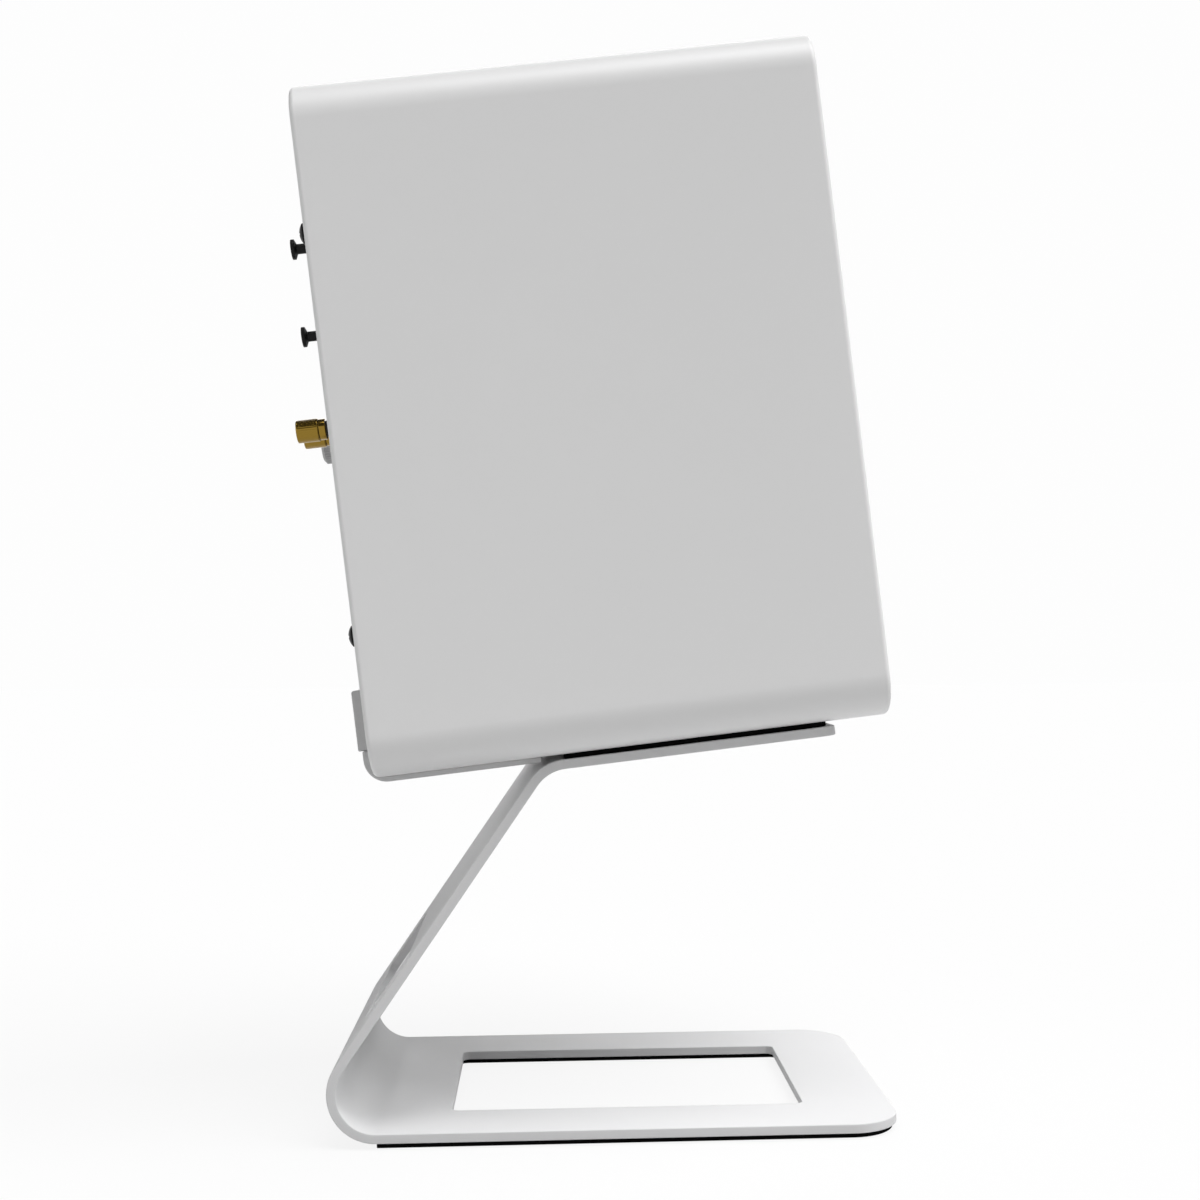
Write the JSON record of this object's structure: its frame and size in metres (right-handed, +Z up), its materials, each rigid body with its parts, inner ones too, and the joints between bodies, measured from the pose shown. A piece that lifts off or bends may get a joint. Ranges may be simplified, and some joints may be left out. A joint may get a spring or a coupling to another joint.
{
  "type": "desktop loudspeaker on stand",
  "caption": "Boxy two-way desktop loudspeaker resting tilted back on a bent steel plate stand with base window and cable slot; cone, dome, level knob, power switch and terminal nuts move",
  "frame": {"origin": "On the table, at the middle of the stand's base outline", "axes": "+Z up, speaker front towards -Y, +X to the right of someone who looks at its front"},
  "size_m": [0.175, 0.2365, 0.4195],
  "materials": {
    "white_powder_coat": "fine matte powder coat",
    "pad_rubber": "matte",
    "white_lacquered_board": "matte white lacquer over fibre board",
    "foam": "open foam",
    "grey_plastic": "fine matte moulding",
    "plate_aluminium": "matte",
    "black_screw_steel": "black oxide",
    "black_plastic": "matte moulding",
    "gold_brass": "gold plated, turned",
    "bright_steel": "zinc plated",
    "circuit_board": "solder mask",
    "copper_winding": "enamelled wire",
    "wire_insulation": "smooth",
    "cast_alloy": "dark cast",
    "ferrite": "ceramic magnet",
    "soft_rubber": "satin",
    "cone_fibre": "woven fibre, matte",
    "woven_cloth": "coated cloth"
  },
  "bodies": {
    "stand": {"stand_frame": "white_powder_coat", "base_pad": "pad_rubber", "top_pad": "pad_rubber"},
    "speaker": {"cabinet_sleeve": "white_lacquered_board", "front_baffle": "white_lacquered_board", "rear_panel": "white_lacquered_board", "damping_pad": "foam", "corner_guard": "grey_plastic", "wall_bumper": "grey_plastic", "amp_plate": "plate_aluminium", "plate_gasket": "foam", "plate_screws": "black_screw_steel", "hanger_screws": "black_screw_steel", "post_collars": "black_plastic", "post_studs": "gold_brass", "level_pot": "black_plastic", "line_jacks": "gold_brass", "mains_inlet": "black_plastic", "switch_bezel": "black_plastic", "amp_board": "circuit_board", "board_standoffs": "bright_steel", "heat_sink": "plate_aluminium", "capacitors": "black_plastic", "transformer": "copper_winding", "transformer_bolt": "bright_steel", "driver_leads": "wire_insulation", "woofer_basket": "cast_alloy", "woofer_gasket": "foam", "woofer_screws": "black_screw_steel", "woofer_trim_ring": "black_plastic", "woofer_surround": "soft_rubber", "woofer_spider": "woven_cloth", "woofer_top_plate": "bright_steel", "woofer_magnet": "ferrite", "woofer_yoke": "bright_steel", "tweeter_faceplate": "black_plastic", "tweeter_screws": "black_screw_steel", "tweeter_surround": "woven_cloth", "tweeter_top_plate": "bright_steel", "tweeter_magnet": "ferrite", "tweeter_yoke": "bright_steel"},
    "cone": {"woofer_cone": "cone_fibre", "woofer_dust_cap": "cone_fibre", "woofer_coil": "copper_winding"},
    "dome": {"tweeter_dome": "woven_cloth", "tweeter_coil": "copper_winding"},
    "knob": {"level_knob": "grey_plastic", "level_shaft": "bright_steel"},
    "rocker": {"switch_rocker": "black_plastic"},
    "clamp_left": {"clamp_sleeve_left": "gold_brass"},
    "nut_left": {"post_nut_left": "gold_brass"},
    "clamp_right": {"clamp_sleeve_right": "gold_brass"},
    "nut_right": {"post_nut_right": "gold_brass"}
  },
  "joints": [
    {"name": "speaker_lift", "type": "slide", "parent": "stand", "child": "speaker", "axis": [0, 0.1149, 0.9934], "range_m": [0, 0.06]},
    {"name": "cone_stroke", "type": "slide", "parent": "speaker", "child": "cone", "axis": [0, -0.9934, 0.1149], "range_m": [-0.004, 0.004], "stiffness_N_per_m": 600, "deforming": ["woofer_surround", "woofer_spider"]},
    {"name": "dome_stroke", "type": "slide", "parent": "speaker", "child": "dome", "axis": [0, -0.9934, 0.1149], "range_m": [-0.0003, 0.0003], "stiffness_N_per_m": 100, "deforming": ["tweeter_surround"]},
    {"name": "level_turn", "type": "hinge", "parent": "speaker", "child": "knob", "pos_m": [0.02, 0.10623, 0.27554], "axis": [0, 0.9934, -0.1149], "range_deg": [-150, 150]},
    {"name": "switch_tip", "type": "hinge", "parent": "speaker", "child": "rocker", "pos_m": [0, 0.09824, 0.2065], "axis": [1, 0, 0], "range_deg": [0, 14]},
    {"name": "clamp_left_travel", "type": "slide", "parent": "speaker", "child": "clamp_left", "axis": [0, 0.9934, -0.1149], "range_m": [0, 0.004]},
    {"name": "nut_left_turn", "type": "hinge", "parent": "clamp_left", "child": "nut_left", "pos_m": [-0.0355, 0.11597, 0.27441], "axis": [0, 0.9934, -0.1149], "range_deg": [0, 1800]},
    {"name": "clamp_right_travel", "type": "slide", "parent": "speaker", "child": "clamp_right", "axis": [0, 0.9934, -0.1149], "range_m": [0, 0.004]},
    {"name": "nut_right_turn", "type": "hinge", "parent": "clamp_right", "child": "nut_right", "pos_m": [-0.0165, 0.11597, 0.27441], "axis": [0, 0.9934, -0.1149], "range_deg": [0, 1800]}
  ],
  "couplings": [
    {"joint": "nut_left_turn", "follows": "clamp_left_travel", "rad_per_m": 7854},
    {"joint": "nut_right_turn", "follows": "clamp_right_travel", "rad_per_m": 7854}
  ]
}
